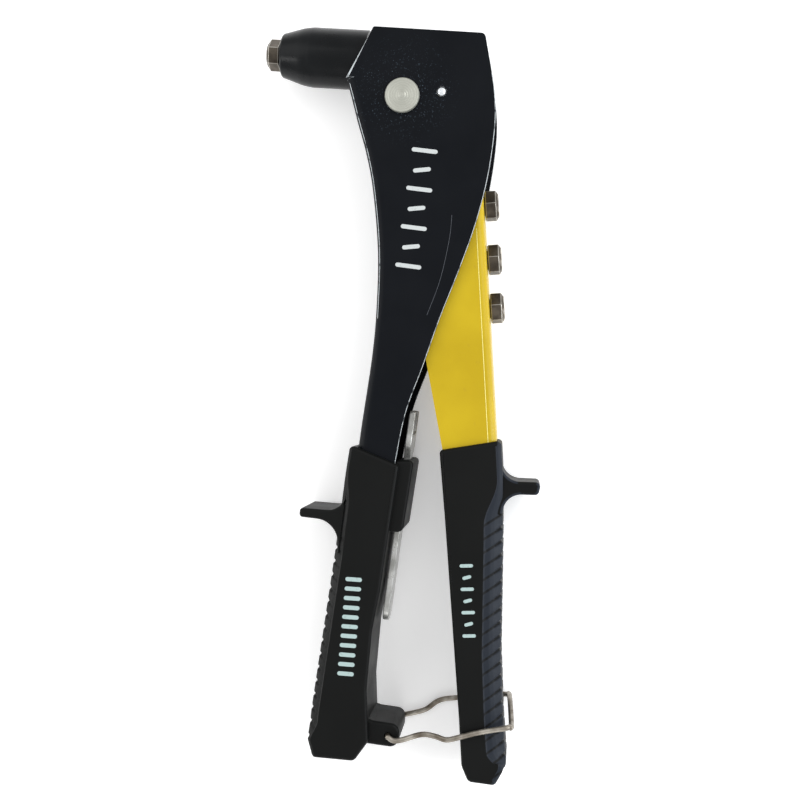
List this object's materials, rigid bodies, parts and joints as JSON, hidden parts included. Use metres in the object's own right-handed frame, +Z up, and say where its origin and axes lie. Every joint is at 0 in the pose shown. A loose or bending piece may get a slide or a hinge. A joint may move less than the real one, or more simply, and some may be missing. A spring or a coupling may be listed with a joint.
{
  "type": "hand riveter",
  "caption": "Hand rivet tool: folded frame and lever, hexagon nosepiece, spare nosepieces in the lever's back, stored wrench and a wire bail that latches the grips together.",
  "frame": {"origin": "middle of the underside of the bounding box, with the tool lying on its side", "axes": "+Y from the handle ends to the head, +X from the nose to the back of the head along the barrel, +Z up from the surface it lies on, along the lever's pivot"},
  "size_m": [0.1141, 0.2689, 0.03],
  "materials": {
    "black_paint": "black paint with a bright worn line along the folded edges",
    "yellow_paint": "yellow paint, satin",
    "gloss_black": "glossy black barrel",
    "grip_plastic": "black moulded plastic",
    "dark_steel": "blackened steel with bright edges",
    "zinc_steel": "dull zinc plate",
    "bright_steel": "turned steel",
    "bail_wire": "aged zinc wire",
    "cast_alloy": "dark cast alloy"
  },
  "bodies": {
    "frame": {"frame_channel": "black_paint", "head_block": "cast_alloy", "barrel": "gloss_black", "nosepiece_fitted": "dark_steel", "pivot_pin": "zinc_steel", "pivot_collar": "zinc_steel", "pivot_spacer": "bright_steel", "stop_pin": "bright_steel", "rear_seat": "bright_steel", "return_spring": "bright_steel", "frame_grip": "grip_plastic"},
    "lever": {"lever_channel": "yellow_paint", "lever_grip": "grip_plastic", "nosepiece_spare_1": "dark_steel", "nosepiece_spare_2": "dark_steel", "nosepiece_spare_3": "dark_steel"},
    "jaw_case": {"jaw_case": "bright_steel", "jaw_lock_nut": "bright_steel", "pull_tube": "bright_steel", "pull_plate": "bright_steel"},
    "jaw_pusher": {"jaw_pusher": "bright_steel", "jaw_spring": "bright_steel"},
    "jaw_1": {"jaw_1": "dark_steel"},
    "jaw_2": {"jaw_2": "dark_steel"},
    "jaw_3": {"jaw_3": "dark_steel"},
    "bail": {"bail": "bail_wire"},
    "wrench": {"wrench": "zinc_steel"}
  },
  "joints": [
    {"name": "lever_hinge", "type": "hinge", "parent": "frame", "child": "lever", "pos_m": [-0.0041, 0.10825, 0.015], "axis": [0, 0, -1], "range_deg": [-42, 1]},
    {"name": "jaw_case_slide", "type": "slide", "parent": "frame", "child": "jaw_case", "axis": [1, 0, 0], "range_m": [-0.0111, 0.0003]},
    {"name": "jaw_pusher_slide", "type": "slide", "parent": "jaw_case", "child": "jaw_pusher", "axis": [1, 0, 0], "range_m": [-0.0002, 0.0031]},
    {"name": "jaw_1_slide", "type": "slide", "parent": "jaw_case", "child": "jaw_1", "axis": [0.9848, 0.1736, 0], "range_m": [-0.0002, 0.0032]},
    {"name": "jaw_2_slide", "type": "slide", "parent": "jaw_case", "child": "jaw_2", "axis": [0.9848, -0.0868, 0.1504], "range_m": [-0.0002, 0.0032]},
    {"name": "jaw_3_slide", "type": "slide", "parent": "jaw_case", "child": "jaw_3", "axis": [0.9848, -0.0868, -0.1504], "range_m": [-0.0002, 0.0032]},
    {"name": "bail_swing", "type": "hinge", "parent": "frame", "child": "bail", "pos_m": [0.0105, -0.12105, 0.015], "axis": [0, 0, 1], "range_deg": [-105, 0]},
    {"name": "wrench_slide", "type": "slide", "parent": "frame", "child": "wrench", "axis": [0.0489, 0.9988, 0], "range_m": [0, 0.055]}
  ],
  "couplings": [
    {"joint": "jaw_case_slide", "follows": "lever_hinge", "m_per_rad": 0.01485},
    {"joint": "jaw_pusher_slide", "follows": "lever_hinge", "m_per_rad": -0.0040304},
    {"joint": "jaw_1_slide", "follows": "lever_hinge", "m_per_rad": -0.0040926},
    {"joint": "jaw_2_slide", "follows": "lever_hinge", "m_per_rad": -0.0040926},
    {"joint": "jaw_3_slide", "follows": "lever_hinge", "m_per_rad": -0.0040926}
  ]
}
